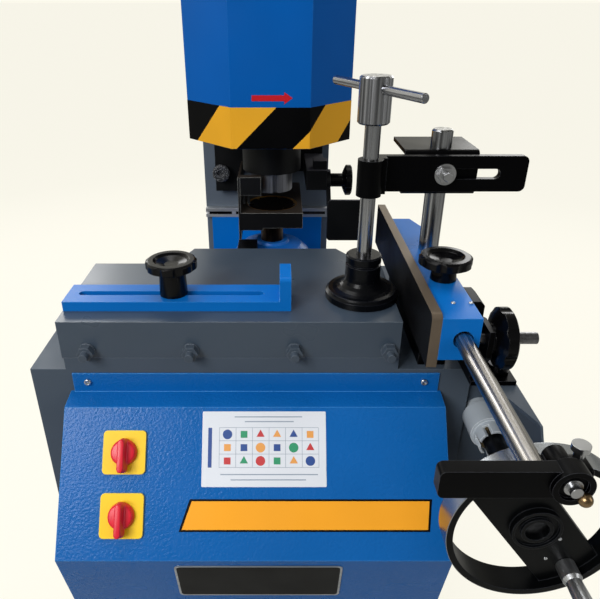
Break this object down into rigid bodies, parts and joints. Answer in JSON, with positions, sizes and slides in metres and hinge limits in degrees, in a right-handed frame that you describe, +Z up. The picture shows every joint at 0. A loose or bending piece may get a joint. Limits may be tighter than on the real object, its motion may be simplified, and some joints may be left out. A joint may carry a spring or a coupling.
{
  "type": "tenoning machine",
  "caption": "Floor-standing tenoner: cabinet base, table with fence and screw clamp, and a hooded two-spindle head fed sideways by a handwheel.",
  "frame": {"origin": "centre of the four floor anchor holes, on the floor", "axes": "+X to the operator's right, +Y away from the operator, +Z up"},
  "size_m": [0.688, 1.0546, 1.45],
  "materials": {
    "grey_enamel": "semi-gloss",
    "blue_enamel": "gloss",
    "hood_blue": "gloss",
    "black_enamel": "satin",
    "black_plastic": "gloss",
    "black_steel": "blackened",
    "bright_steel": "machined",
    "bronze": "plain",
    "yellow_plastic": "satin",
    "red_plastic": "gloss"
  },
  "bodies": {
    "frame": {"base_plinth": "grey_enamel", "base_cabinet": "grey_enamel", "shaft_box": "grey_enamel", "console_cover": "blue_enamel", "switch_plates": "yellow_plastic", "switch_bodies": "black_plastic", "table": "grey_enamel", "table_bolts": "grey_enamel", "fence_riser": "black_enamel", "fence_bracket": "black_enamel", "fence_bracket_bolt": "black_steel", "fence_plate": "black_enamel", "fence_bar": "blue_enamel", "fence_pad": "black_enamel", "fence_stud": "bright_steel", "shaft_sleeve": "grey_enamel", "shaft_bushes": "bronze", "rack_guide": "grey_enamel", "pedestal": "grey_enamel", "cross_way": "bright_steel"},
    "side_stop_bar": {"side_stop": "blue_enamel"},
    "side_stop_screw": {"side_stop_knob": "black_plastic"},
    "rod_lock_screw": {"rod_lock_knob": "black_plastic"},
    "fence_nut": {"fence_star_nut": "black_plastic"},
    "column": {"clamp_column": "bright_steel"},
    "bracket": {"clamp_bracket": "black_enamel", "clamp_bolt": "bright_steel"},
    "arm": {"clamp_arm": "black_enamel"},
    "foot": {"clamp_foot": "black_steel"},
    "screw": {"clamp_screw": "bright_steel", "clamp_tee_head": "bright_steel", "clamp_tommy_bar": "bright_steel"},
    "length_rod": {"stop_rod": "bright_steel", "stop_collar": "black_enamel", "stop_pivot": "bright_steel"},
    "length_stop": {"stop_arm": "black_enamel"},
    "thumb_screw": {"stop_thumb_bolt": "bright_steel"},
    "feed_wheel": {"feed_shaft": "bright_steel", "feed_pinion": "bright_steel", "handwheel": "black_enamel", "grip_pin": "bright_steel"},
    "grip": {"handwheel_grip": "bright_steel"},
    "head": {"saddle_plate": "bright_steel", "post": "grey_enamel", "hood": "hood_blue", "motor_bracket": "blue_enamel", "feed_rack": "bright_steel", "lower_motor": "blue_enamel", "cutter_platform": "black_enamel", "upper_way": "bright_steel"},
    "upper_unit": {"upper_slide": "black_enamel", "spindle_housing": "black_enamel", "upper_motor": "blue_enamel"},
    "guard": {"cutter_guard": "black_enamel"},
    "guard_screw": {"guard_knob": "black_plastic"},
    "slide_lock": {"slide_lock_knob": "black_plastic"},
    "upper_cutter": {"upper_spindle": "bright_steel"},
    "lower_cutter": {"lower_spindle": "bright_steel"},
    "upper_switch": {"upper_switch_knob": "red_plastic"},
    "lower_switch": {"lower_switch_knob": "red_plastic"}
  },
  "joints": [
    {"name": "side_stop_slide", "type": "slide", "parent": "frame", "child": "side_stop_bar", "axis": [1, 0, 0], "range_m": [-0.1, 0]},
    {"name": "side_stop_knob_turn", "type": "hinge", "parent": "frame", "child": "side_stop_screw", "pos_m": [-0.095, -0.3345, 0.8625], "axis": [0, 0, 1], "range_deg": [0, 360]},
    {"name": "rod_lock_knob_turn", "type": "hinge", "parent": "frame", "child": "rod_lock_screw", "pos_m": [0.223, -0.362, 0.895], "axis": [0, 0, 1], "range_deg": [0, 360]},
    {"name": "fence_star_nut_turn", "type": "hinge", "parent": "frame", "child": "fence_nut", "pos_m": [0.261, -0.431, 0.856], "axis": [1, 0, 0], "range_deg": [0, 360]},
    {"name": "clamp_column_swing", "type": "hinge", "parent": "frame", "child": "column", "pos_m": [0.227, -0.27, 0.895], "axis": [0, 0, 1], "range_deg": [-55, 0]},
    {"name": "clamp_bracket_height", "type": "slide", "parent": "column", "child": "bracket", "axis": [0, 0, 1], "range_m": [0, 0.02]},
    {"name": "clamp_arm_reach", "type": "slide", "parent": "bracket", "child": "arm", "axis": [1, 0, 0], "range_m": [-0.038, 0]},
    {"name": "clamp_foot_travel", "type": "slide", "parent": "arm", "child": "foot", "axis": [0, 0, 1], "range_m": [0, 0.0601]},
    {"name": "clamp_screw_turn", "type": "hinge", "parent": "foot", "child": "screw", "pos_m": [0.137, -0.316, 0.9], "axis": [0, 0, 1], "range_deg": [0, 5400]},
    {"name": "stop_rod_slide", "type": "slide", "parent": "frame", "child": "length_rod", "axis": [0, 1, 0], "range_m": [-0.03, 0.15]},
    {"name": "stop_arm_flip", "type": "hinge", "parent": "length_rod", "child": "length_stop", "pos_m": [0.244, -0.655, 0.87], "axis": [0, 1, 0], "range_deg": [0, 90]},
    {"name": "stop_thumb_bolt_turn", "type": "hinge", "parent": "length_rod", "child": "thumb_screw", "pos_m": [0.259, -0.636, 0.875], "axis": [0, 0, 1], "range_deg": [0, 360]},
    {"name": "head_feed", "type": "slide", "parent": "frame", "child": "head", "axis": [1, 0, 0], "range_m": [0, 0.12]},
    {"name": "handwheel_turn", "type": "hinge", "parent": "frame", "child": "feed_wheel", "pos_m": [0.287, -0.555, 0.717], "axis": [0, -1, 0], "range_deg": [0, 276]},
    {"name": "handwheel_grip_spin", "type": "hinge", "parent": "feed_wheel", "child": "grip", "pos_m": [0.32913, -0.6, 0.6611], "axis": [0, 1, 0], "continuous": true},
    {"name": "upper_unit_height", "type": "slide", "parent": "head", "child": "upper_unit", "axis": [0, 0, 1], "range_m": [0, 0.035]},
    {"name": "cutter_guard_swing", "type": "hinge", "parent": "upper_unit", "child": "guard", "pos_m": [0.123, 0.065, 0.893], "axis": [1, 0, 0], "range_deg": [-70, 0]},
    {"name": "guard_knob_turn", "type": "hinge", "parent": "upper_unit", "child": "guard_screw", "pos_m": [0.131, 0.065, 0.893], "axis": [1, 0, 0], "range_deg": [0, 360]},
    {"name": "slide_lock_knob_turn", "type": "hinge", "parent": "upper_unit", "child": "slide_lock", "pos_m": [-0.079, 0.16, 0.881], "axis": [0, -1, 0], "range_deg": [0, 360]},
    {"name": "upper_spindle_spin", "type": "hinge", "parent": "upper_unit", "child": "upper_cutter", "pos_m": [0.021, 0.065, 0.9], "axis": [0, 0, 1], "continuous": true},
    {"name": "lower_spindle_spin", "type": "hinge", "parent": "head", "child": "lower_cutter", "pos_m": [0.021, 0.065, 0.8], "axis": [0, 0, 1], "continuous": true},
    {"name": "upper_switch_turn", "type": "hinge", "parent": "frame", "child": "upper_switch", "pos_m": [-0.1477, -0.44487, 0.70853], "axis": [0, -0.7976, 0.6032], "range_deg": [-90, 0]},
    {"name": "lower_switch_turn", "type": "hinge", "parent": "frame", "child": "lower_switch", "pos_m": [-0.1477, -0.48769, 0.6519], "axis": [0, -0.7976, 0.6032], "range_deg": [-90, 0]}
  ],
  "couplings": [
    {"joint": "handwheel_turn", "follows": "head_feed", "rad_per_m": 40},
    {"joint": "clamp_foot_travel", "follows": "clamp_screw_turn", "m_per_rad": 0.00063662}
  ]
}
